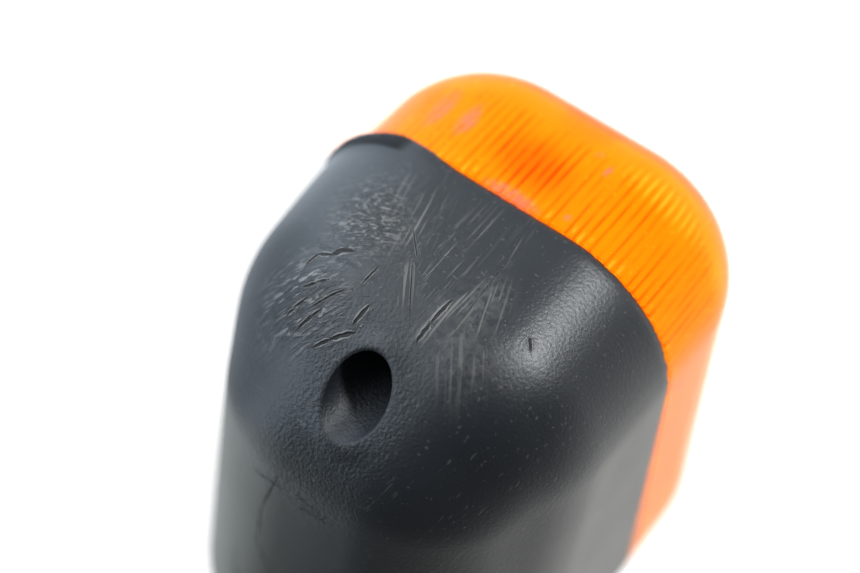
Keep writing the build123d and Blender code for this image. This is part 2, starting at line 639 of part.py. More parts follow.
def mounting_washer():
    return rod_x(10.0, -BRACKET_GAP - 1.6, -BRACKET_GAP) - rod_x(STUD_RADIUS + 0.3, -30, 0)


def mounting_lock_washer():
    """Split spring washer: a ring cut through on the slant."""
    start = SPRING_WASHER_START
    ring = rod_x(8.3, start, start + 2.2) - rod_x(STUD_RADIUS + 0.15, -30, 0)
    gap = Pos(start + 1.1, 0, 7) * Rot(0, 0, 25) * Box(6, 1.0, 8)
    return ring - gap


def mounting_nut():
    return hex_nut(NUT_SIZE, SPRING_WASHER_START - 6.0, SPRING_WASHER_START, STUD_RADIUS + 0.02)


# ---- wires ------------------------------------------------------------------------------------
def wire_run(side):
    """A wire's way from the neck through both studs and out to its terminal."""
    lane = side * WIRE_LANE
    inner_end = (NECK_WALL_X + 10, 0, lane)
    outer_start = (-STUD_REACH - SHEATH_END, 0, lane)
    outer_end = (WIRE_END_X, 0, side * TERMINAL_LANE)
    fan = Spline(outer_start, outer_end, tangents=[(-1, 0, 0), (-1, 0, 0)])
    return [Line(inner_end, outer_start), fan]


def signal_wire():
    """Leaves the socket straight back, turns in the gap behind it and runs to the neck."""
    bend = 2.1
    out = (BULB_X, RIM_Y + PLUNGER_TAIL, 0)
    corner = (BULB_X, RIM_Y + SOCKET_BACK + 0.3, 0)
    turned = (BULB_X - bend, RIM_Y + SOCKET_BACK + 0.3 + bend, 0)
    neck = (NECK_WALL_X + 10, 0, WIRE_LANE)
    turn = Spline(corner, turned, tangents=[(0, 1, 0), (-1, 0, 0)])
    slope = Spline(turned, neck, tangents=[(-1, 0, 0), (-1, 0, 0)])
    return swept(Wire([Line(out, corner), turn, slope] + wire_run(1)), WIRE_RADIUS)


def earth_wire():
    """Runs from the tag on the socket's side to the neck."""
    tag = (BULB_X - SOCKET_OUTER_RADIUS - 4.7, RIM_Y + EARTH_TAG_DEPTH, 0)
    neck = (NECK_WALL_X + 10, 0, -WIRE_LANE)
    slope = Spline(tag, neck, tangents=[(-1, 0, 0), (-1, 0, 0)])
    return swept(Wire([slope] + wire_run(-1)), WIRE_RADIUS)


def wire_sheath():
    """Vinyl sleeve round both wires where they leave the stud."""
    start = -STUD_REACH - SHEATH_END
    end = -STUD_REACH - 3
    outer = SlotCenterToCenter(2 * WIRE_LANE, 2 * WIRE_RADIUS + 1.6)
    inner = SlotCenterToCenter(2 * WIRE_LANE, 2 * WIRE_RADIUS + 0.3)
    plane = Plane(origin=(start, 0, 0), x_dir=(0, 0, 1), z_dir=(1, 0, 0))
    return extrude(plane * (outer - inner), amount=end - start)


def bullet_terminals():
    """A crimped bullet terminal on the end of each wire."""
    terminals = []
    for side in (-1, 1):
        bullet_start = WIRE_END_X - 5
        tip = WIRE_END_X - 13
        pin = turned_x([(WIRE_END_X, 0), (WIRE_END_X, CRIMP_RADIUS), (bullet_start, CRIMP_RADIUS),
                        (bullet_start, TERMINAL_RADIUS), (tip + 0.8, TERMINAL_RADIUS),
                        (tip, 1.2), (tip, 0)])
        terminals.append(Pos(0, 0, side * TERMINAL_LANE) * pin)
    return Compound(children=terminals)


def terminal_sleeves():
    """A vinyl sleeve over the crimped back of each terminal."""
    start = WIRE_END_X - 4.5
    end = WIRE_END_X + 5
    sleeves = []
    for side in (-1, 1):
        lane = side * TERMINAL_LANE
        bore = rod_x(CRIMP_RADIUS + 0.1, start - 1, end + 1, 0, lane)
        sleeves.append(rod_x(2.4, start, end, 0, lane) - bore)
    return Compound(children=sleeves)


PARTS = [
    housing, lens, lens_gasket, lens_screw, lens_screw_washer,
    reflector, reflector_screws,
    bulb_glass, bulb_cap, bulb_base_insulator, bulb_contact, bulb_glass_mount, bulb_lead_wires,
    bulb_filament,
    bulb_socket, socket_rivets, contact_insulator, contact_plunger, contact_spring,
    rubber_stalk, mounting_stud, head_stud, head_stud_washer, head_stud_nut,
    mounting_washer, mounting_lock_washer, mounting_nut,
    signal_wire, earth_wire, wire_sheath, bullet_terminals, terminal_sleeves,
]

os.makedirs("parts", exist_ok=True)
for make in PARTS:
    export_step(make(), os.path.join("parts", make.__name__ + ".step"))
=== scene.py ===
import bmesh
import bpy
import json
import math
import numpy as np
from mathutils import Matrix, Vector, noise


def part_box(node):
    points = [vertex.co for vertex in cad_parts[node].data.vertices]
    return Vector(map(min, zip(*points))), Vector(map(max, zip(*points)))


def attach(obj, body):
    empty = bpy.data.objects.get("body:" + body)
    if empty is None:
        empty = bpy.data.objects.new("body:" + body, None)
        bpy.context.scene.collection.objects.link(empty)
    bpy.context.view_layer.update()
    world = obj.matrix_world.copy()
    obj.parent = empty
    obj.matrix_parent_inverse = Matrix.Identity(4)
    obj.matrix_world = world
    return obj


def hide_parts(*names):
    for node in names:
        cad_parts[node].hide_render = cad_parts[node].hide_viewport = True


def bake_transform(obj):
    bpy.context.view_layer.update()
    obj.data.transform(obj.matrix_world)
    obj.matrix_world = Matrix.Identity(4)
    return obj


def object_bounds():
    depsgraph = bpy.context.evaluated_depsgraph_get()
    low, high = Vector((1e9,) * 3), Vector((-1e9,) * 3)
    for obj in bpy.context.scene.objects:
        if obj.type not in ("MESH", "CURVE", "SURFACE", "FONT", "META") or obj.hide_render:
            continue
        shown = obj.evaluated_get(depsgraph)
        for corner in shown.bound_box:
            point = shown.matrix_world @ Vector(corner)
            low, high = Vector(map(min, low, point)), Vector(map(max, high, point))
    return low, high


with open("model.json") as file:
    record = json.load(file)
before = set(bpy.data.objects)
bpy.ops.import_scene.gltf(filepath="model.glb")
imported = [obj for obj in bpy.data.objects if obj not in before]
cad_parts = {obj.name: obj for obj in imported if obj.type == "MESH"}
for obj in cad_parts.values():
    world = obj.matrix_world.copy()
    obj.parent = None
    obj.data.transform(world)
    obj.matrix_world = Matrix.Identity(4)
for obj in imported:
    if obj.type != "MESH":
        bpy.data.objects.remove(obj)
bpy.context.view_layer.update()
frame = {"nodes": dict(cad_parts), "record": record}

# The looks of a motorcycle turn signal: scuffed black housing, amber lens, rubber stalk, wires.
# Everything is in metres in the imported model's frame; MM turns millimetres into metres.
MM = 0.001

RIM_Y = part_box("housing")[0].y
OUTBOARD_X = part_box("housing")[1].x
STALK_END_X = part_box("rubber_stalk")[1].x
SCREW_X = (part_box("lens_screw")[0].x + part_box("lens_screw")[1].x) / 2
RIM_HALF_LENGTH = 40 * MM
RIM_HALF_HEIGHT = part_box("housing")[1].z
CORNER_RADIUS = 18.5 * MM
RIM_CENTRE_X = OUTBOARD_X - RIM_HALF_LENGTH
# Millimetres round the lens's wall between the grooves that its material shows.
FLUTE_PITCH = 1.25
# The mounting stud's thread, M10 x 1.25.
THREAD_START_X = -20 * MM
THREAD_END_X = -0.5 * MM
THREAD_RADIUS = 5 * MM
THREAD_PITCH = 1.25 * MM
THREAD_DEPTH = 0.62 * MM
RINGS_PER_PITCH = 8

# Pale scuffs on the lens in millimetres: centre, then reach along X, Y and Z.
LENS_SCUFFS = [((118.2, -35.6, -15.7), (3, 3.2, 1.1)), ((119.5, -35.3, -11.3), (3, 2.6, 1.0)),
               ((119.5, -40.9, 4.9), (2, 0.6, 0.4)), ((119.7, -39.2, 7.3), (2, 0.9, 0.4)),
               ((120.0, -30.0, 7.5), (2, 0.5, 0.5))]

# Marks on the housing's outboard end, seen from outboard: places are (Y, Z) in millimetres,
# angles are degrees from +Y towards +Z, and reaches are half sizes along and across the angle.
WEAR = [((-13.0, 6.8), 10, (4.5, 2.6), 0.9), ((-6.5, 8.8), 35, (4.5, 3.6), 0.75),
        ((-14.5, -11.5), 118, (5.0, 6.5), 0.5), ((-2.5, -12.0), 160, (8.0, 4.0), 0.35),
        ((-10.0, 3.6), 0, (4.5, 1.5), 0.5), ((-17.0, -0.5), 0, (6.0, 2.0), 0.15)]
# Families of marks: centre, angle, reach, strength, marks per millimetre across, stretch along.
STREAKS = [((-19.0, -6.6), 13, (8.0, 1.9), 0.9, 2.5, 30), ((-17.0, -0.4), 0, (7.5, 2.6), 1.0, 2.5, 30),
           ((-16.0, -2.8), 15, (6.5, 1.6), 0.9, 2.5, 30), ((-10.0, -1.8), 33, (4.5, 1.5), 0.8, 2.2, 22),
           ((-9.7, 4.2), -3, (5.5, 2.4), 0.9, 2.4, 26), ((-6.0, 8.6), 35, (5.0, 3.6), 0.45, 2.3, 18),
           ((-12.5, 8.0), 20, (5.0, 2.0), 0.7, 2.3, 18), ((-23.0, 4.8), 8, (4.5, 0.6), 0.8, 2.3, 26),
           ((-21.0, -11.0), 12, (4.5, 1.8), 0.4, 2.0, 20)]
TORN = [((-15.5, -12.0), 118, (4.6, 5.6), 1.0, 2.3, 2.4), ((-2.6, -12.4), 141, (4.6, 5.2), 1.0, 1.5, 3.4)]
# Single cuts: from one place to another, and half the width.
CUTS = [((-6.3, -14.8), (-7.9, -14.2), 0.16), ((-7.9, -14.2), (-8.5, -12.4), 0.20),
        ((-8.5, -12.4), (-9.9, -11.7), 0.34), ((-9.2, -12.4), (-10.2, -10.4), 0.30),
        ((1.3, -7.9), (-0.2, -6.4), 0.18), ((-0.2, -6.4), (-2.1, -4.1), 0.24),
        ((-2.5, -4.9), (-5.5, -4.5), 0.24), ((-4.7, 3.0), (-7.3, 3.1), 0.26),
        ((-7.3, 3.1), (-11.4, 3.3), 0.24), ((-7.0, 0.3), (-12.9, -3.7), 0.09),
        ((-8.4, 6.0), (-18.5, 5.4), 0.06), ((-13.4, -3.2), (-17.1, -6.7), 0.10),
        ((-2.2, -10.6), (-5.4, -8.3), 0.16),
        ((-6.8, -6.9), (-10.0, -6.6), 0.14), ((0.6, -11.0), (-2.4, -9.4), 0.20),
        ((-3.4, -13.4), (-5.6, -10.8), 0.18), ((-13.2, 13.6), (-12.0, 14.6), 0.22),
        ((-0.4, -13.2), (-2.8, -11.9), 0.16)]
# Finer cuts on the back of the housing, in the same form, but places are (X, Z).
BACK_CUTS = [((99.0, -5.7), (90.5, -7.8), 0.07), ((90.5, -7.8), (82.0, -8.3), 0.06),
             ((82.0, -8.3), (77.5, -5.5), 0.06), ((96.2, -9.6), (97.2, -4.5), 0.07),
             ((95.5, -2.5), (96.2, 2.7), 0.07), ((97.6, -2.2), (97.0, 1.4), 0.07),
             ((74.0, -12.5), (58.0, -9.0), 0.08)]
# The form of every cut: millimetres deep, height of its lips, shares of the listed half length and
# half width, and how far it wanders sideways (in half widths) over what distance.
CUT_DEPTH = 0.15
CUT_LIP = 0.06
CUT_LENGTH_SHARE = 1.1
CUT_WIDTH_SHARE = 0.85
CUT_WANDER = 0.6
CUT_WANDER_SIZE = 0.6 * MM

# How many rings the rubber stalk and its wires are cut into along X, so that they can bend smoothly.
BEND_RINGS = 20

# Lens stops of the camera for the close view, which is blurred off its focus, and for farther ones.
CLOSE_STOP = 7.5
FAR_STOP = 128.0
CLOSE_DISTANCE = 0.5


# ---- node materials ---------------------------------------------------------------------------
class Shader:
    """Builds one node material. Every argument may be a plain value or another node's output."""

    def __init__(self, name):
        self.material = bpy.data.materials.new(name)
        self.material.use_nodes = True
        self.tree = self.material.node_tree
        self.tree.nodes.clear()

    def put(self, value, socket):
        if isinstance(value, bpy.types.NodeSocket):
            self.tree.links.new(value, socket)
        else:
            socket.default_value = value

    def node(self, kind, inputs, **settings):
        node = self.tree.nodes.new(kind)
        for key, value in settings.items():
            setattr(node, key, value)
        for key, value in inputs.items():
            self.put(value, node.inputs[key])
        return node

    def place(self, scale=(1, 1, 1), turn=(0, 0, 0)):
        """Millimetre coordinates that move with the piece, turned and then stretched."""
        coordinates = self.node("ShaderNodeTexCoord", {}).outputs["Object"]
        turned = self.node("ShaderNodeVectorRotate", {"Vector": coordinates, "Rotation": turn},
                           rotation_type="EULER_XYZ").outputs[0]
        factors = [component / MM for component in scale]
        return self.node("ShaderNodeVectorMath", {0: turned, 1: factors}, operation="MULTIPLY").outputs[0]

    def noise(self, vector, scale, detail=2.0, roughness=0.5, distortion=0.0):
        inputs = {"Vector": vector, "Scale": scale, "Detail": detail, "Roughness": roughness,
                  "Distortion": distortion}
        return self.node("ShaderNodeTexNoise", inputs).outputs[0]

    def math(self, operation, first, second=0.0):
        return self.node("ShaderNodeMath", {0: first, 1: second}, operation=operation).outputs[0]

    def span(self, value, low, high, start=0.0, end=1.0):
        """Runs smoothly from start to end while the value goes from low to high."""
        return self.node("ShaderNodeMapRange", {"Value": value, "From Min": low, "From Max": high,
                                                "To Min": start, "To Max": end},
                         interpolation_type="SMOOTHSTEP").outputs[0]

    def mix(self, factor, first, second):
        return self.node("ShaderNodeMix", {0: factor, 6: first, 7: second}, data_type="RGBA").outputs[2]

    def painted(self, name):
        return self.node("ShaderNodeAttribute", {}, attribute_name=name).outputs["Fac"]

    def spot(self, centre, radii, soft=0.5):
        """1 inside an ellipsoid given in millimetres, fading to 0 outside it."""
        offset = self.node("ShaderNodeVectorMath", {0: self.place(), 1: centre},
                           operation="SUBTRACT").outputs[0]
        share = self.node("ShaderNodeVectorMath", {0: offset, 1: radii}, operation="DIVIDE").outputs[0]
        reach = self.node("ShaderNodeVectorMath", {0: share}, operation="LENGTH").outputs["Value"]
        return self.span(reach, 1 - soft, 1 + soft, 1.0, 0.0)

    def painted_place(self, name):
        """The three painted coordinates of a point, for noise laid along a mark."""
        return self.node("ShaderNodeAttribute", {}, attribute_name=name).outputs["Vector"]

    def bump(self, height, distance, strength=1.0, normal=None):
        inputs = {"Height": height, "Distance": distance * MM, "Strength": strength}
        if normal is not None:
            inputs["Normal"] = normal
        return self.node("ShaderNodeBump", inputs).outputs[0]

    def principled(self, **inputs):
        named = {key.replace("_", " ").title().replace("Ior", "IOR"): value
                 for key, value in inputs.items()}
        return self.node("ShaderNodeBsdfPrincipled", named).outputs[0]

    def finish(self, surface):
        output = self.node("ShaderNodeOutputMaterial", {})
        self.tree.links.new(surface, output.inputs["Surface"])
        return self.material


def painted_cuts(s):
    """How much of a cut's floor (which gets painted shade) and of its pale lips there is at a point."""
    place = s.node("ShaderNodeSeparateXYZ", {0: s.painted_place("cuts_lay")}).outputs
    side = s.math("ABSOLUTE", place["Y"])
    taper = s.math("SUBTRACT", 1.0, s.math("POWER", s.math("ABSOLUTE", place["X"]), 3.0))
    gap = s.math("DIVIDE", side, s.math("MAXIMUM", taper, 0.02))
    core = s.math("MULTIPLY", s.span(gap, 0.55, 1.15, 1.0, 0.0), s.painted("cuts"))
    lips = s.math("MULTIPLY", s.span(gap, 1.0, 1.5), s.span(gap, 1.7, 2.6, 1.0, 0.0))
    return core, s.math("MULTIPLY", lips, s.painted("cuts"))


def painted_streaks(s):
    """Fine scratches: the painted families, and faint hairlines all over the skin."""
    streaks = s.span(s.noise(s.painted_place("streaks_lay"), 1.0, 1), 0.55, 0.64)
    streaks = s.math("MULTIPLY", s.painted("streaks"), streaks)
    hairs = s.span(s.noise(s.place((0.10, 2.2, 2.2), (0.3, 0.2, 0.6)), 1.0, 1), 0.70, 0.74)
    crossing = s.span(s.noise(s.place((2.0, 2.0, 0.12), (0.2, -0.3, 0.1)), 1.0, 1), 0.71, 0.75)
    hairs = s.math("MAXIMUM", hairs, crossing)
    hairs = s.math("MULTIPLY", s.math("MULTIPLY", hairs, 0.35), s.painted("skin"))
    return s.math("MAXIMUM", streaks, hairs)


def summed_height(s, layers):
    """One height out of several, each given in millimetres where its share is 1."""
    height = 0.0
    for share, millimetres in layers:
        height = s.math("ADD", height, s.math("MULTIPLY", share, millimetres))
    return height


def housing_plastic():
    """Dark blue-black moulded plastic with a fine grain; the outboard end is scuffed and cut."""
    s = Shader("housing_plastic")
    place = s.place()
    wear = s.math("MULTIPLY", s.painted("wear"), s.span(s.noise(place, 0.9, 5, 0.65), 0.38, 0.62))
    streaks = painted_streaks(s)
    core, lips = painted_cuts(s)
    rolled = s.math("MULTIPLY", rolled_lip(s), s.painted("skin"))
    torn = s.painted("torn")
    slivers = s.noise(s.painted_place("torn_lay"), 1.0, 3, 0.6, 1.3)
    # On the torn patches: pale scraped plastic with a painted glint on the raised slivers, and painted
    # shade in the hollows between them.
    torn_pale_and_glint = s.math("MULTIPLY", s.span(slivers, 0.52, 0.60), torn)
    torn_hollow_shade = s.math("MULTIPLY", s.span(slivers, 0.37, 0.44, 1.0, 0.0), torn)
    blotches = s.noise(place, 0.12, 3)

    colour = s.mix(blotches, (0.0085, 0.0112, 0.0150, 1), (0.0120, 0.0150, 0.0190, 1))
    colour = s.mix(wear, colour, (0.048, 0.050, 0.050, 1))
    # Torn patches: pale scraped plastic with painted glints, then painted shade in the hollows.
    colour = s.mix(s.math("MULTIPLY", torn_pale_and_glint, 0.85), colour, (0.150, 0.152, 0.148, 1))
    colour = s.mix(torn_hollow_shade, colour, (0.003, 0.003, 0.004, 1))
    colour = s.mix(s.math("MULTIPLY", streaks, 0.85), colour, (0.125, 0.124, 0.117, 1))
    colour = s.mix(s.math("MULTIPLY", lips, 0.75), colour, (0.17, 0.17, 0.165, 1))
    # Painted shade: the floor of each cut is painted near black.
    colour = s.mix(s.math("MULTIPLY", core, 0.75), colour, (0.003, 0.003, 0.003, 1))
    # Painted shade: the rolled lip, which faces away from the light, is painted near black.
    colour = s.mix(s.math("MULTIPLY", rolled, 0.8), colour, (0.004, 0.005, 0.006, 1))

    rough = s.math("ADD", s.span(s.painted("skin"), 0, 1, 0.50, 0.36), s.math("MULTIPLY", blotches, 0.08))
    rough = s.math("ADD", rough, s.math("MULTIPLY", s.math("MAXIMUM", wear, streaks), 0.14))
    rough = s.math("ADD", rough, s.math("MULTIPLY", s.math("MAXIMUM", core, rolled), 0.25))

    pebbled = s.span(s.spot((106, 3, -3), (15, 12, 12), 0.6), 0, 1, 0.8, 2.6)
    grain = s.math("MULTIPLY", s.noise(place, 2.3, 2, 0.5), pebbled)
    flaps = s.math("MULTIPLY", s.span(slivers, 0.35, 0.65), torn)
    height = summed_height(s, ((grain, 0.060), (wear, 0.02), (streaks, 0.025), (flaps, 0.20),
                               (lips, 0.08), (core, -0.12), (rolled, 0.4)))
    rounded = s.node("ShaderNodeBevel", {"Radius": 0.8 * MM}, samples=4).outputs[0]
    return s.finish(s.principled(
        base_color=colour, roughness=rough, ior=1.5, specular_tint=(0.93, 0.97, 1.0, 1),
        # Less reflection on the rolled lip, to deepen its painted shade.
        specular_ior_level=s.math("SUBTRACT", 0.5, s.math("MULTIPLY", rolled, 0.3)),
        normal=s.bump(height, 1.0, 0.9, rounded)))


def rolled_lip(s):
    """1 on the rolled edge at the rim's lower outboard corner."""
    depth = s.node("ShaderNodeSeparateXYZ", {0: s.place()}).outputs["Y"]
    rim = RIM_Y / MM
    near = s.spot((114, rim, -21.0), (12, 9, 6.5), 0.12)
    return s.math("MULTIPLY", near, s.span(depth, rim + 1.8, rim + 2.3, 1.0, 0.0))


def lens_grooves(s, depth):
    """The grooves between the lens's flutes, where painted shade goes, and the crests of the flutes."""
    wander = s.math("MULTIPLY", s.noise(s.place((1, 0.15, 1)), 0.5, 1), 0.5)
    turns = s.math("MULTIPLY", s.math("ADD", s.painted("around"), wander), 2 * math.pi / FLUTE_PITCH)
    wave = s.math("COSINE", turns)
    uneven = s.span(s.noise(s.place((1, 0.15, 1)), 0.6, 3, 0.6), 0.30, 0.65)
    groove = s.math("MULTIPLY", s.span(wave, 0.05, 1.0), uneven)
    on_wall = s.span(depth, RIM_Y / MM - 14.5, RIM_Y / MM - 11.5)
    return s.math("MULTIPLY", groove, on_wall), s.span(wave, -0.2, -0.9)


def lens_scuffs(s):
    """1 on the lens's pale scuffs."""
    scuffs = s.spot((120, -28.5, 0.0), (3, 1.1, 3.4))
    for centre, radii in LENS_SCUFFS:
        scuffs = s.math("MAXIMUM", scuffs, s.spot(centre, radii))
    return s.math("MULTIPLY", scuffs, s.span(s.noise(s.place((2, 0.5, 2)), 1.1, 3), 0.34, 0.55))


def lens_colour(s, place, facing, scuffs):
    """Amber, redder at the front and paler where scuffed; painted shade in the grooves, along the front
    corner and at the screw boss; painted sheen on the side wall and edge-on; painted glints by the rim.
    """
    parts = s.node("ShaderNodeSeparateXYZ", {0: place}).outputs
    depth = parts["Y"]
    rim = RIM_Y / MM
    groove, crests = lens_grooves(s, depth)
    tone = s.mix(s.noise(place, 0.10, 3), (1.0, 0.37, 0.003, 1), (1.0, 0.46, 0.006, 1))
    # Painted shade in the grooves between the flutes.
    colour = s.mix(s.math("MULTIPLY", groove, 0.85), tone, (1.0, 0.15, 0.001, 1))
    # Painted shade along the lens's front corner.
    front_edge_shade = s.math("MULTIPLY", s.span(depth, rim - 22.0, rim - 20.0),
                        s.span(depth, rim - 20.0, rim - 17.0, 1.0, 0.0))
    colour = s.mix(s.math("MULTIPLY", front_edge_shade, 0.75), colour, (1.0, 0.13, 0.02, 1))
    colour = s.mix(s.span(depth, rim - 22.5, rim - 20.5, 0.8, 0.0), colour, (1.0, 0.24, 0.05, 1))
    # Painted light: the side wall is painted pale, as if backlit.
    side_wall_painted_light = s.math("MULTIPLY", s.span(parts["Z"], 24.3, 26.0),
                       s.span(parts["X"], 96.0, 108.0, 1.0, 0.0))
    colour = s.mix(s.math("MULTIPLY", side_wall_painted_light, 0.55), colour, (1.0, 0.58, 0.34, 1))
    # Painted sheen: the lens is painted paler at grazing angles.
    colour = s.mix(s.span(facing, 0.50, 0.95, 0.0, 0.8), colour, (1.0, 0.36, 0.16, 1))
    # Painted shade: the screw boss's shadow seen through the lens, darker still in the grooves.
    boss_shadow = s.spot((118, -34.6, -0.8), (8, 3.6, 4.8), 0.6)
    colour = s.mix(s.math("MULTIPLY", boss_shadow, 0.45), colour, (1.0, 0.10, 0.001, 1))
    colour = s.mix(s.math("MULTIPLY", boss_shadow, groove), colour, (0.75, 0.04, 0.001, 1))
    glints = s.math("MULTIPLY", s.span(depth, rim - 2.5, rim - 0.3),
                    s.span(s.noise(place, 0.35, 1), 0.5, 0.6))
    glints = s.math("MAXIMUM", glints, s.spot((116.5, -41.3, 14.8), (6, 2.2, 6.0)))
    glints = s.math("MULTIPLY", glints, crests)
    colour = s.mix(s.math("MULTIPLY", glints, 0.9), colour, (1.0, 0.70, 0.04, 1))
    return s.mix(s.math("MULTIPLY", scuffs, 0.85), colour, (0.95, 0.30, 0.22, 1))


def amber_lens():
    """Clear amber acrylic, fluted inside, with a slightly hazed and scuffed outside and a faint painted
    glow.
    """
    s = Shader("amber_lens")
    place = s.place()
    depth = s.node("ShaderNodeSeparateXYZ", {0: place}).outputs["Y"]
    rim = RIM_Y / MM
    facing = s.node("ShaderNodeLayerWeight", {"Blend": 0.5}).outputs["Facing"]
    scuffs = lens_scuffs(s)
    colour = lens_colour(s, place, facing, scuffs)
    on_front = s.span(depth, rim - 24.6, rim - 23.4, 1.0, 0.0)
    scratches = s.span(s.noise(s.place((6, 0.25, 1), (0, 0, 0.6)), 1.0, 2), 0.68, 0.74)
    rough = s.math("ADD", 0.15, s.math("MULTIPLY", s.math("MAXIMUM", scratches, scuffs), 0.3))
    normal = s.bump(s.math("SUBTRACT", s.noise(place, 0.4, 2), scuffs), 0.02, 0.4)
    # Painted light: the lens glows with its own colour, less on its front face.
    body = s.principled(base_color=colour, roughness=rough, ior=1.25, transmission_weight=1.0,
                        specular_tint=(1.0, 0.5, 0.1, 1), specular_ior_level=0.1, normal=normal,
                        emission_color=colour, emission_strength=s.span(on_front, 0, 1, 0.5, 0.12))
    through = s.node("ShaderNodeBsdfTranslucent", {"Color": colour}).outputs[0]
    scattered = s.node("ShaderNodeBsdfDiffuse", {"Color": colour}).outputs[0]
    soft = s.node("ShaderNodeMixShader", {0: 0.4, 1: through, 2: scattered}).outputs[0]
    hazy = s.span(on_front, 0, 1, 0.5, 0.22)
    lens = s.node("ShaderNodeMixShader", {0: hazy, 1: body, 2: soft}).outputs[0]
    clear_edge = s.node("ShaderNodeBsdfTransparent", {"Color": (1.0, 0.90, 0.82, 1)}).outputs[0]
    glow = s.span(facing, 0.72, 1.0, 0.0, 0.85)
    return s.finish(s.node("ShaderNodeMixShader", {0: glow, 1: lens, 2: clear_edge}).outputs[0])


def metal(name, colour, roughness, grain=(1, 1, 1), tarnish=0.25):
    """Plated or bare metal with fine tooling marks, duller patches, and darker, browner painted grooves."""
    s = Shader(name)
    marks = s.noise(s.place(grain), 6.0, 3, 0.6)
    patches = s.noise(s.place(), 0.45, 4, 0.6)
    dull = [component * (1 - tarnish) for component in colour[:3]] + [1]
    tone = s.mix(s.span(patches, 0.35, 0.7), colour, dull)
    tone = s.mix(s.span(s.painted("groove"), 0.6, 1.0, 0.0, 0.6), tone, (0.12, 0.09, 0.05, 1))
    rough = s.math("ADD", roughness, s.math("MULTIPLY", patches, 0.18))
    normal = s.bump(marks, 0.015, 0.5)
    return s.finish(s.principled(base_color=tone, metallic=1.0, roughness=rough, normal=normal))


def rubber(name, colour, bloom):
    """Matt rubber with mould grain and a greyish bloom that comes and goes."""
    s = Shader(name)
    place = s.place()
    cloud = s.noise(place, 0.16, 4, 0.6)
    speck = s.noise(place, 3.0, 2)
    tone = s.mix(s.math("MULTIPLY", s.span(cloud, 0.4, 0.75), bloom), colour, (0.10, 0.10, 0.10, 1))
    rough = s.span(cloud, 0.3, 0.7, 0.55, 0.78)
    normal = s.bump(speck, 0.05, 0.6)
    return s.finish(s.principled(base_color=tone, roughness=rough, normal=normal))


def moulded(name, colour, roughness, mottle=0.25, ior=1.5):
    """Smooth moulded plastic, PVC or bead: slight mottling, faint flow marks and dust."""
    s = Shader(name)
    place = s.place()
    cloud = s.noise(place, 0.35, 3)
    darker = [component * (1 - mottle) for component in colour[:3]] + [1]
    tone = s.mix(cloud, colour, darker)
    rough = s.math("ADD", roughness, s.math("MULTIPLY", s.noise(place, 1.5, 3), 0.12))
    normal = s.bump(s.noise(place, 1.2, 3), 0.02, 0.5)
    return s.finish(s.principled(base_color=tone, roughness=rough, ior=ior, normal=normal))


def clear(name, colour, roughness, ior):
    """See-through glass or vinyl with faint ripples and dust."""
    s = Shader(name)
    place = s.place()
    ripple = s.noise(place, 0.25, 2)
    rough = s.math("ADD", roughness, s.math("MULTIPLY", s.span(s.noise(place, 2.0, 3), 0.5, 0.8), 0.1))
    normal = s.bump(ripple, 0.05, 0.3)
    tone = s.mix(ripple, colour, [component * 0.94 for component in colour[:3]] + [1])
    return s.finish(s.principled(base_color=tone, roughness=rough, ior=ior, transmission_weight=1.0,
                                 normal=normal))


MATERIALS = {
    "housing_plastic": housing_plastic(),
    "amber_lens": amber_lens(),
    "gasket_rubber": rubber("gasket_rubber", (0.02, 0.02, 0.02, 1), 0.4),
    "zinc_steel": metal("zinc_steel", (0.62, 0.64, 0.66, 1), 0.22, (1, 6, 6)),
    "chromed_plastic": metal("chromed_plastic", (0.92, 0.92, 0.93, 1), 0.05, tarnish=0.05),
    "bulb_glass": clear("bulb_glass", (0.98, 0.99, 1.0, 1), 0.0, 1.5),
    "brass": metal("brass", (0.80, 0.58, 0.24, 1), 0.2, (5, 1, 5), 0.4),
    "black_vitrite": moulded("black_vitrite", (0.01, 0.01, 0.012, 1), 0.08),
    "solder": metal("solder", (0.6, 0.6, 0.62, 1), 0.3, tarnish=0.4),
    "tungsten": metal("tungsten", (0.3, 0.3, 0.31, 1), 0.35),
    "phenolic": moulded("phenolic", (0.20, 0.075, 0.028, 1), 0.35, 0.4),
    "spring_steel": metal("spring_steel", (0.5, 0.5, 0.52, 1), 0.2),
    "stalk_rubber": rubber("stalk_rubber", (0.016, 0.016, 0.018, 1), 0.5),
    "yellow_zinc_steel": metal("yellow_zinc_steel", (0.72, 0.58, 0.28, 1), 0.25, tarnish=0.4),
    "wire_orange": moulded("wire_orange", (0.80, 0.20, 0.015, 1), 0.3, 0.15),
    "wire_black": moulded("wire_black", (0.012, 0.012, 0.012, 1), 0.3),
    "vinyl_black": moulded("vinyl_black", (0.02, 0.02, 0.02, 1), 0.4),
    "vinyl_clear": clear("vinyl_clear", (0.86, 0.85, 0.78, 1), 0.18, 1.5),
}


def dress_frame():
    """Gives every CAD node its slot's material."""
    slots = {part["node"]: part["material_slot"] for part in frame["record"]["subparts"]}
    for name, node in frame["nodes"].items():
        node.data.materials.clear()
        node.data.materials.append(MATERIALS[slots[name]])


# ---- mesh helpers -----------------------------------------------------------------------------
def smoothstep(value, low, high):
    t = np.clip((value - low) / (high - low), 0, 1)
    return t * t * (3 - 2 * t)


def piece_from(mesh, name, slot, *nodes):
    """A shown object that stands for CAD nodes, with its slot's material."""
    piece = bpy.data.objects.new(name, mesh)
    bpy.context.scene.collection.objects.link(piece)
    mesh.materials.clear()
    mesh.materials.append(MATERIALS[slot])
    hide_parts(*nodes)
    return piece


def apply_modifiers(piece):
    """Replaces the piece's mesh by what its modifiers make of it."""
    graph = bpy.context.evaluated_depsgraph_get()
    mesh = bpy.data.meshes.new_from_object(piece.evaluated_get(graph))
    piece.modifiers.clear()
    piece.data = mesh


def points_of(mesh):
    points = np.empty(len(mesh.vertices) * 3)
    mesh.vertices.foreach_get("co", points)
    return points.reshape(-1, 3)


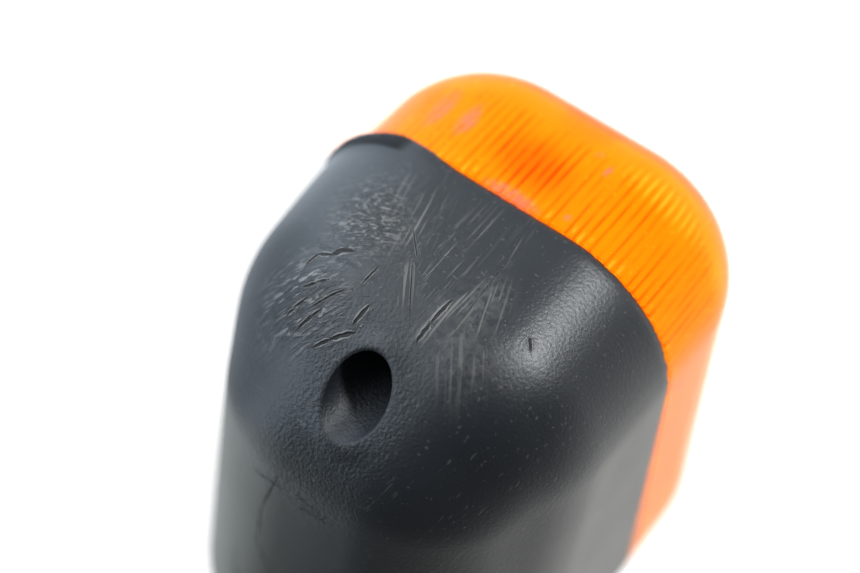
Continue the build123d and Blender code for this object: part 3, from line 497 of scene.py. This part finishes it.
def normals_of(mesh):
    normals = np.empty(len(mesh.vertices) * 3)
    mesh.vertex_normals.foreach_get("vector", normals)
    return normals.reshape(-1, 3)


def set_points(mesh, points):
    mesh.vertices.foreach_set("co", points.ravel())
    mesh.update()


def paint(mesh, name, values):
    layer = mesh.attributes.new(name, "FLOAT", "POINT")
    layer.data.foreach_set("value", values.astype(np.float32))


def paint_places(mesh, name, places):
    layer = mesh.attributes.new(name, "FLOAT_VECTOR", "POINT")
    layer.data.foreach_set("vector", places.astype(np.float32).ravel())


def relax(points, edges, weight, rounds, step=0.5, back_step=-0.53):
    """Smooths a surface without shrinking it, by the given weight at each point."""
    first, second = edges.T
    count = np.bincount(edges.ravel(), minlength=len(points))[:, None]
    for i in range(2 * rounds):
        total = np.zeros_like(points)
        for axis in range(3):
            total[:, axis] = (np.bincount(first, points[second, axis], len(points))
                              + np.bincount(second, points[first, axis], len(points)))
        factor = step if i % 2 == 0 else back_step
        points = points + factor * weight[:, None] * (total / np.maximum(count, 1) - points)
    return points


def edges_of(mesh):
    edges = np.empty(len(mesh.edges) * 2, int)
    mesh.edges.foreach_get("vertices", edges)
    return edges.reshape(-1, 2)


def ringed_copy(node, stations):
    """A copy of a CAD node's mesh, cut across at each place along X, with smooth faces."""
    mesh = frame["nodes"][node].data.copy()
    work = bmesh.new()
    work.from_mesh(mesh)
    bmesh.ops.remove_doubles(work, verts=work.verts, dist=0.001 * MM)
    for x in stations:
        everything = work.verts[:] + work.edges[:] + work.faces[:]
        bmesh.ops.bisect_plane(work, geom=everything, plane_co=(x, 0, 0), plane_no=(1, 0, 0), dist=1e-7)
    for face in work.faces:
        face.smooth = True
    work.to_mesh(mesh)
    work.free()
    return mesh


# ---- lens -------------------------------------------------------------------------------------
def distance_round_rim(points):
    """How far round the rim's outline each point lies, in millimetres."""
    flat_x = RIM_HALF_LENGTH - CORNER_RADIUS
    flat_z = RIM_HALF_HEIGHT - CORNER_RADIUS
    x = points[:, 0] - RIM_CENTRE_X
    z = points[:, 2]
    core_x = np.clip(x, -flat_x, flat_x)
    core_z = np.clip(z, -flat_z, flat_z)
    angle = np.arctan2(z - core_z, x - core_x)
    turn = np.sign(angle)
    around = turn * (flat_z + CORNER_RADIUS * np.abs(angle) + flat_x - core_x)
    around = np.where(np.abs(angle) < 1e-6, core_z, around)
    inboard_side = np.abs(angle) > math.pi - 1e-6
    far = 2 * flat_z + CORNER_RADIUS * math.pi + 2 * flat_x - core_z
    return np.where(inboard_side, far, around) / MM


def build_lens():
    mesh = frame["nodes"]["lens"].data.copy()
    paint(mesh, "around", distance_round_rim(points_of(mesh)))
    piece = piece_from(mesh, "lens_amber", "amber_lens", "lens")
    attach(piece, "head")


# ---- housing ----------------------------------------------------------------------------------
# The driver hole, and the sloping facet round its mouth: its height on the hole's axis and its slope.
HOLE_RADIUS = 4.1 * MM
HOLE_FACET_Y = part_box("lens_screw")[1].y + 18.9 * MM
FACET_SLOPE = math.radians(48)
PLUG_RADIUS = HOLE_RADIUS + 0.9 * MM
SKIN_VOXEL = 0.75 * MM
SMOOTHING_ROUNDS = 25


def screw_hole_plug():
    """A bar that fills the driver hole up to the sloping facet."""
    work = bmesh.new()
    bmesh.ops.create_cone(work, cap_ends=True, segments=48, radius1=PLUG_RADIUS, radius2=PLUG_RADIUS,
                          depth=2 * MM)
    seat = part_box("lens_screw_washer")[0].y + 0.2 * MM
    for vertex in work.verts:
        across, along, top = vertex.co.x, vertex.co.y, vertex.co.z > 0
        facet = HOLE_FACET_Y - across * math.tan(FACET_SLOPE)
        vertex.co = Vector((SCREW_X + across, facet if top else seat, -along))
    mesh = bpy.data.meshes.new("plug")
    work.to_mesh(mesh)
    work.free()
    return mesh


def join(first, second):
    """One mesh that holds both."""
    work = bmesh.new()
    work.from_mesh(first)
    work.from_mesh(second)
    joined = bpy.data.meshes.new("joined")
    work.to_mesh(joined)
    work.free()
    return joined


def remeshed_housing():
    """An even, smooth skin over the CAD housing, with its screw hole filled."""
    mesh = join(frame["nodes"]["housing"].data, screw_hole_plug())
    piece = piece_from(mesh, "housing_skin", "housing_plastic", "housing")
    remesh = piece.modifiers.new("even", "REMESH")
    remesh.mode = "VOXEL"
    remesh.voxel_size = SKIN_VOXEL
    apply_modifiers(piece)
    points = points_of(piece.data)
    weight = free_skin(piece.data, points)
    set_points(piece.data, relax(points, edges_of(piece.data), weight, SMOOTHING_ROUNDS))
    return piece


def outward_share(mesh, points):
    """How far each point's surface faces away from the middle of the housing's mouth."""
    centre = np.array([RIM_CENTRE_X, RIM_Y, 0])
    away = points - centre
    away /= np.linalg.norm(away, axis=1)[:, None]
    return np.einsum("ij,ij->i", normals_of(mesh), away)


def free_skin(mesh, points):
    """1 on the open outside of the housing, 0 near its rim and inside it."""
    clear_of_rim = smoothstep(points[:, 1], RIM_Y + 1.2 * MM, RIM_Y + 2.5 * MM)
    return clear_of_rim * (outward_share(mesh, points) > 0)


def in_line(places, centre, angle):
    """How far each place lies along and across a line, in millimetres."""
    turn = math.radians(angle)
    offset = places - np.array(centre)
    return offset @ (math.cos(turn), math.sin(turn)), offset @ (-math.sin(turn), math.cos(turn))


def ellipse(along, across, reach):
    return np.exp(-((along / reach[0]) ** 2 + (across / reach[1]) ** 2) ** 1.5)


def paint_families(mesh, name, places, open_skin, families):
    """Paints coordinates laid along the strongest family at each place, and its strength there.

    The strength falls to 0 where two families tie, which hides the jump in the coordinates.
    """
    best = np.zeros(len(places))
    second = np.zeros(len(places))
    lay = np.zeros((len(places), 3))
    for index, (centre, angle, reach, strength, scale, stretch) in enumerate(families):
        along, across = in_line(places, centre, angle)
        share = strength * ellipse(along, across, reach) * open_skin
        own = np.stack((along * scale / stretch, across * scale, np.full(len(places), 7.3 * index)), axis=1)
        chosen = share > best
        lay[chosen] = own[chosen]
        second = np.maximum(second, np.minimum(best, share))
        best = np.maximum(best, share)
    clear = smoothstep(best - second, 0, 0.25 * best + 1e-6)
    paint(mesh, name, best * clear)
    paint_places(mesh, name + "_lay", lay)


def nearest_cut(points):
    """How far each point is from its nearest cut, and its place along and across that cut."""
    nearest = np.full(len(points), 1e3)
    lay = np.full((len(points), 3), 9.0)
    end_places = points[:, 1:] / MM
    back_places = np.where(points[:, 1:2] > 5 * MM, points[:, ::2] / MM, 1e3)
    cuts = [(end_places, cut) for cut in CUTS] + [(back_places, cut) for cut in BACK_CUTS]
    for places, (start, end, half_width) in cuts:
        middle = np.add(start, end) / 2
        angle = math.degrees(math.atan2(end[1] - start[1], end[0] - start[0]))
        half_length = math.dist(start, end) / 2
        along, across = in_line(places, middle, angle)
        far = np.hypot(np.maximum(np.abs(along) - half_length, 0), across)
        own = np.stack((along / half_length / CUT_LENGTH_SHARE, across / half_width / CUT_WIDTH_SHARE,
                        np.zeros(len(points))), axis=1)
        chosen = far < nearest
        lay[chosen] = own[chosen]
        nearest = np.minimum(nearest, far)
    for i in np.flatnonzero(nearest < 2.0):
        lay[i, 1] += CUT_WANDER * noise.noise(Vector(points[i]) / CUT_WANDER_SIZE)
    return nearest, lay


def refine_near_cuts(mesh):
    """Finer faces where the cuts go, so that they can be cut into the surface itself."""
    near = nearest_cut(points_of(mesh))[0] < 1.1
    work = bmesh.new()
    work.from_mesh(mesh)
    chosen = [edge for edge in work.edges if near[edge.verts[0].index] and near[edge.verts[1].index]]
    bmesh.ops.subdivide_edges(work, edges=chosen, cuts=3, use_grid_fill=True, smooth=1.0)
    work.to_mesh(mesh)
    work.free()


def cut_skin(mesh, points, skin):
    """Sinks the cuts into the skin, raises a lip along them, and paints where they are."""
    nearest, lay = nearest_cut(points)
    strength = skin * (1 - smoothstep(nearest, 0.9, 1.6))
    gap = np.abs(lay[:, 1]) / np.maximum(1 - np.abs(lay[:, 0]) ** 3, 0.02)
    core = strength * (1 - smoothstep(gap, 0.4, 1.3))
    lip = strength * smoothstep(gap, 1.0, 1.6) * (1 - smoothstep(gap, 1.7, 3.0))
    set_points(mesh, points + normals_of(mesh) * ((CUT_LIP * lip - CUT_DEPTH * core) * MM)[:, None])
    paint(mesh, "cuts", strength)
    paint_places(mesh, "cuts_lay", lay)


def mark_skin(mesh):
    """Paints where the skin is worn, streaked and torn, and cuts the cuts."""
    points = points_of(mesh)
    places = points[:, 1:] / MM
    off_axis = np.hypot(points[:, 0] - SCREW_X, points[:, 2])
    skin = smoothstep(outward_share(mesh, points), 0.1, 0.3) * (off_axis > HOLE_RADIUS + 0.02 * MM)
    open_skin = skin * (points[:, 0] > 85 * MM)
    wear = np.zeros(len(points))
    for centre, angle, reach, strength in WEAR:
        wear = np.maximum(wear, strength * ellipse(*in_line(places, centre, angle), reach) * open_skin)
    paint(mesh, "skin", skin)
    paint(mesh, "wear", wear)
    paint_families(mesh, "streaks", places, open_skin, STREAKS)
    paint_families(mesh, "torn", places, open_skin, TORN)
    cut_skin(mesh, points, skin)


def shape_rim(mesh):
    """The rim's lower outboard corner is rolled outwards; the rest of the edge is a little chewed."""
    points = points_of(mesh)
    normals = normals_of(mesh)
    outside = outward_share(mesh, points) > 0.2
    depth = (points[:, 1] - RIM_Y) / MM
    corner = np.array((OUTBOARD_X - 7 * MM, -RIM_HALF_HEIGHT + 4 * MM))
    from_corner = np.hypot(points[:, 0] - corner[0], points[:, 2] - corner[1]) / MM
    near = 1 - smoothstep(from_corner, 6, 17)
    fuller = 1.0 * near * (1 - smoothstep(depth, 2, 22))
    bead = 0.8 * near * np.exp(-((depth - 1.0) / 1.1) ** 2)
    chew = np.sin(points[:, 2] / MM * 2.7) * np.sin(points[:, 0] / MM * 1.9 + points[:, 2] / MM * 5.3)
    chew = 0.12 * np.clip(chew - 0.3, 0, 1) * np.exp(-(depth / 1.2) ** 2)
    move = (fuller + bead - chew) * outside
    set_points(mesh, points + normals * (move * MM)[:, None])


def recut_screw_hole(piece):
    """Bores the driver hole again, with a crisp mouth."""
    bpy.ops.mesh.primitive_cylinder_add(vertices=96, radius=HOLE_RADIUS, depth=60 * MM,
                                        rotation=(math.pi / 2, 0, 0))
    cutter = bpy.context.object
    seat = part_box("lens_screw_washer")[0].y
    cutter.location = (SCREW_X, seat + 30 * MM, 0)
    cut = piece.modifiers.new("hole", "BOOLEAN")
    cut.operation = "DIFFERENCE"
    cut.solver = "EXACT"
    cut.object = cutter
    bpy.context.view_layer.update()
    apply_modifiers(piece)
    bpy.data.objects.remove(cutter)


def smooth_but_for_hole_mouth(mesh):
    """Smooth shading everywhere, with a hard edge where the driver hole meets the skin."""
    for polygon in mesh.polygons:
        polygon.use_smooth = True
    mesh.set_sharp_from_angle(angle=math.radians(50))
    work = bmesh.new()
    work.from_mesh(mesh)
    in_hole = set()
    for face in work.faces:
        middle = face.calc_center_median()
        near_axis = math.hypot(middle.x - SCREW_X, middle.z) < HOLE_RADIUS + 0.05 * MM
        if near_axis and abs(face.normal.y) < 0.2:
            in_hole.add(face)
    for edge in work.edges:
        if len(edge.link_faces) == 2:
            inside = [face in in_hole for face in edge.link_faces]
            if any(inside):
                edge.smooth = all(inside)
    work.to_mesh(mesh)
    work.free()


def build_housing():
    piece = remeshed_housing()
    shape_rim(piece.data)
    refine_near_cuts(piece.data)
    recut_screw_hole(piece)
    mark_skin(piece.data)
    smooth_but_for_hole_mouth(piece.data)
    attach(piece, "head")


# ---- mounting stud ----------------------------------------------------------------------------
def build_threaded_stud():
    """The mounting stud with its thread cut into the CAD's plain cylinder."""
    rings = round((THREAD_END_X - THREAD_START_X) / THREAD_PITCH * RINGS_PER_PITCH)
    stations = [THREAD_START_X + i * THREAD_PITCH / RINGS_PER_PITCH for i in range(rings + 1)]
    mesh = ringed_copy("mounting_stud", stations)
    points = points_of(mesh)
    x = points[:, 0]
    radius = np.hypot(points[:, 1], points[:, 2])
    turns = x / THREAD_PITCH + np.arctan2(points[:, 2], points[:, 1]) / (2 * math.pi)
    runout = np.minimum(smoothstep(x, THREAD_START_X, THREAD_START_X + THREAD_PITCH),
                        smoothstep(-x, -THREAD_END_X, -THREAD_END_X + THREAD_PITCH))
    groove = np.abs(turns % 1 * 2 - 1) * runout * (radius > THREAD_RADIUS - 0.1 * MM)
    keep = np.where(groove > 0, (THREAD_RADIUS - THREAD_DEPTH * groove) / np.maximum(radius, MM), 1.0)
    points[:, 1] *= keep
    points[:, 2] *= keep
    set_points(mesh, points)
    paint(mesh, "groove", groove)
    mesh.set_sharp_from_angle(angle=math.radians(40))
    piece = piece_from(mesh, "mounting_stud_threaded", "yellow_zinc_steel", "mounting_stud")
    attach(piece, "mount")


# ---- bending pieces ---------------------------------------------------------------------------
def build_bending(node, slot):
    """A copy of a CAD node, with enough rings to bend smoothly with the stalk."""
    mesh = ringed_copy(node, [STALK_END_X * i / BEND_RINGS for i in range(BEND_RINGS + 1)])
    mesh.set_sharp_from_angle(angle=math.radians(35))
    piece = piece_from(mesh, node + "_flexing", slot, node)
    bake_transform(piece)


def build_contact_spring():
    """The contact spring, which sits between its socket and the plate the bulb pushes back."""
    mesh = frame["nodes"]["contact_spring"].data.copy()
    piece = piece_from(mesh, "contact_spring_squeezed", "spring_steel", "contact_spring")
    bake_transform(piece)


# ---- stage ------------------------------------------------------------------------------------
def build_world():
    """Plain white surroundings for the camera; softer and darker behind it for the lighting."""
    world = bpy.data.worlds.new("studio")
    bpy.context.scene.world = world
    world.use_nodes = True
    tree = world.node_tree
    tree.nodes.clear()

    def node(kind, inputs, **settings):
        made = tree.nodes.new(kind)
        for key, value in settings.items():
            setattr(made, key, value)
        for key, value in inputs.items():
            if isinstance(value, bpy.types.NodeSocket):
                tree.links.new(value, made.inputs[key])
            else:
                made.inputs[key].default_value = value
        return made.outputs[0]

    def lobe(azimuth, elevation, outer, inner, strength):
        a, e = math.radians(azimuth), math.radians(elevation)
        towards = (math.cos(a) * math.cos(e), math.sin(a) * math.cos(e), math.sin(e))
        direction = tree.nodes.new("ShaderNodeTexCoord").outputs["Generated"]
        dot = tree.nodes.new("ShaderNodeVectorMath")
        dot.operation = "DOT_PRODUCT"
        tree.links.new(direction, dot.inputs[0])
        dot.inputs[1].default_value = towards
        return node("ShaderNodeMapRange", {"Value": dot.outputs["Value"],
                                           "From Min": math.cos(math.radians(outer)),
                                           "From Max": math.cos(math.radians(inner)),
                                           "To Min": 0.0, "To Max": strength},
                    interpolation_type="SMOOTHSTEP")

    backdrop = lobe(-130, 10, 92, 25, 1.45)
    window = lobe(-23, 26, 13, 2, 1.4)
    total = node("ShaderNodeMath", {0: backdrop, 1: window}, operation="ADD")
    total = node("ShaderNodeMath", {0: total, 1: 0.15}, operation="ADD")
    lighting = node("ShaderNodeBackground", {"Color": (1, 0.985, 0.95, 1), "Strength": total})
    seen = node("ShaderNodeBackground", {"Color": (1, 1, 1, 1), "Strength": 1.05})
    is_camera = tree.nodes.new("ShaderNodeLightPath").outputs["Is Camera Ray"]
    surface = node("ShaderNodeMixShader", {0: is_camera, 1: lighting, 2: seen})
    output = tree.nodes.new("ShaderNodeOutputWorld")
    tree.links.new(surface, output.inputs["Surface"])


def floor_material():
    """White floor, lit brightest outboard of the lamp; the camera sees it evenly lit."""
    s = Shader("floor_paper")
    position = s.node("ShaderNodeNewGeometry", {}).outputs["Position"]
    apart = s.node("ShaderNodeSeparateXYZ", {0: position}).outputs
    pool = s.node("ShaderNodeVectorMath", {0: position, 1: (0.150, 0.010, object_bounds()[0].z)},
                  operation="DISTANCE").outputs["Value"]
    strength = s.math("ADD", 1.0, s.span(pool, 0.010, 0.090, 2.6, 0.0))
    # Painted shadow: beneath the lamp the floor gives less light, standing in for the lamp's own shadow.
    beneath = s.math("MULTIPLY", s.span(apart["X"], 0.078, 0.092),
                     s.span(apart["X"], 0.112, 0.130, 1.0, 0.0))
    beneath = s.math("MULTIPLY", beneath, s.span(apart["Y"], -0.040, 0.0))
    beneath = s.math("MULTIPLY", beneath, s.span(apart["Y"], 0.010, 0.025, 1.0, 0.0))
    strength = s.math("MULTIPLY", strength, s.span(beneath, 0, 1, 1.0, 0.4))
    behind = s.math("SUBTRACT", apart["Y"], s.math("MULTIPLY", apart["X"], 0.46))
    strength = s.math("MULTIPLY", strength, s.span(behind, -0.030, 0.085, 1.0, 0.12))
    strength = s.math("MULTIPLY", strength, s.span(apart["X"], 0.060, 0.082, 1.5, 1.0))
    outboard = s.math("MULTIPLY", s.span(apart["X"], 0.150, 0.185),
                      s.span(apart["Y"], -0.052, -0.030, 1.0, 0.0))
    strength = s.math("MULTIPLY", strength, s.span(outboard, 0, 1, 1.0, 0.72))
    tint = s.mix(s.span(apart["X"], 0.080, 0.100), (0.93, 1.0, 0.98, 1), (0.86, 0.97, 1.08, 1))
    tint = s.mix(s.span(apart["X"], 0.120, 0.160), tint, (0.96, 0.99, 1.02, 1))
    light = s.node("ShaderNodeEmission", {"Color": tint, "Strength": strength}).outputs[0]
    paper = s.noise(s.place(), 0.02, 2)
    white = s.mix(paper, (0.88, 0.88, 0.88, 1), (0.92, 0.92, 0.92, 1))
    matt = s.principled(base_color=white, roughness=0.8, emission_color=(1, 1, 1, 1),
                        emission_strength=0.95)
    is_camera = s.node("ShaderNodeLightPath", {}).outputs["Is Camera Ray"]
    return s.finish(s.node("ShaderNodeMixShader", {0: is_camera, 1: light, 2: matt}).outputs[0])


def build_floor():
    half = 3.0
    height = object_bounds()[0].z - 0.1 * MM
    corners = [(-half, -half, height), (half, -half, height), (half, half, height), (-half, half, height)]
    mesh = bpy.data.meshes.new("floor")
    mesh.from_pydata(corners, [], [(0, 1, 2, 3)])
    mesh.materials.append(floor_material())
    floor = bpy.data.objects.new("floor", mesh)
    bpy.context.scene.collection.objects.link(floor)


def build_light(name, azimuth, elevation, distance, size, power, target=(0.112, -0.012, 0.008)):
    """A square soft box aimed at the target."""
    a, e = math.radians(azimuth), math.radians(elevation)
    towards = Vector((math.cos(a) * math.cos(e), math.sin(a) * math.cos(e), math.sin(e)))
    data = bpy.data.lights.new(name, "AREA")
    data.size = size
    data.energy = power
    light = bpy.data.objects.new(name, data)
    bpy.context.scene.collection.objects.link(light)
    light.location = Vector(target) + towards * distance
    light.rotation_euler = towards.to_track_quat("Z", "Y").to_euler()


def build_camera():
    """Close camera behind and outboard of the lamp, rolled over, with a shallow depth of field."""
    data = bpy.data.cameras.new("camera")
    data.lens = 106.9
    data.sensor_width = 36
    data.clip_start = 0.01
    camera = bpy.data.objects.new("camera", data)
    bpy.context.scene.collection.objects.link(camera)
    right = Vector((0.0432, -0.5910, 0.8055))
    up = Vector((0.5705, -0.6473, -0.5055))
    back = Vector((0.8202, 0.4814, 0.3092))
    pose = Matrix((right, up, back)).transposed().to_4x4()
    pose.translation = Vector((0.3721, 0.1367, 0.0952))
    camera.matrix_world = pose
    bpy.context.scene.camera = camera
    return camera


def build_focus(camera):
    """Focus on the scuffed end. From farther off, as in other views, everything is sharp."""
    focus = bpy.data.objects.new("focus", None)
    bpy.context.scene.collection.objects.link(focus)
    focus.location = (0.1185, -0.010, 0.001)
    blur = camera.data.dof
    blur.use_dof = True
    blur.focus_object = focus
    driver = blur.driver_add("aperture_fstop").driver
    gap = driver.variables.new()
    gap.name = "gap"
    gap.type = "LOC_DIFF"
    gap.targets[0].id = camera
    gap.targets[1].id = focus
    driver.expression = f"{CLOSE_STOP} if gap < {CLOSE_DISTANCE} else {FAR_STOP}"


dress_frame()
build_housing()
build_lens()
build_bending("rubber_stalk", "stalk_rubber")
build_bending("signal_wire", "wire_orange")
build_bending("earth_wire", "wire_black")
build_contact_spring()
build_threaded_stud()

bpy.context.scene.view_settings.view_transform = "Standard"
build_world()
build_floor()
build_light("soft_box", -23, 26, 0.5, 0.070, 2.2)
build_focus(build_camera())
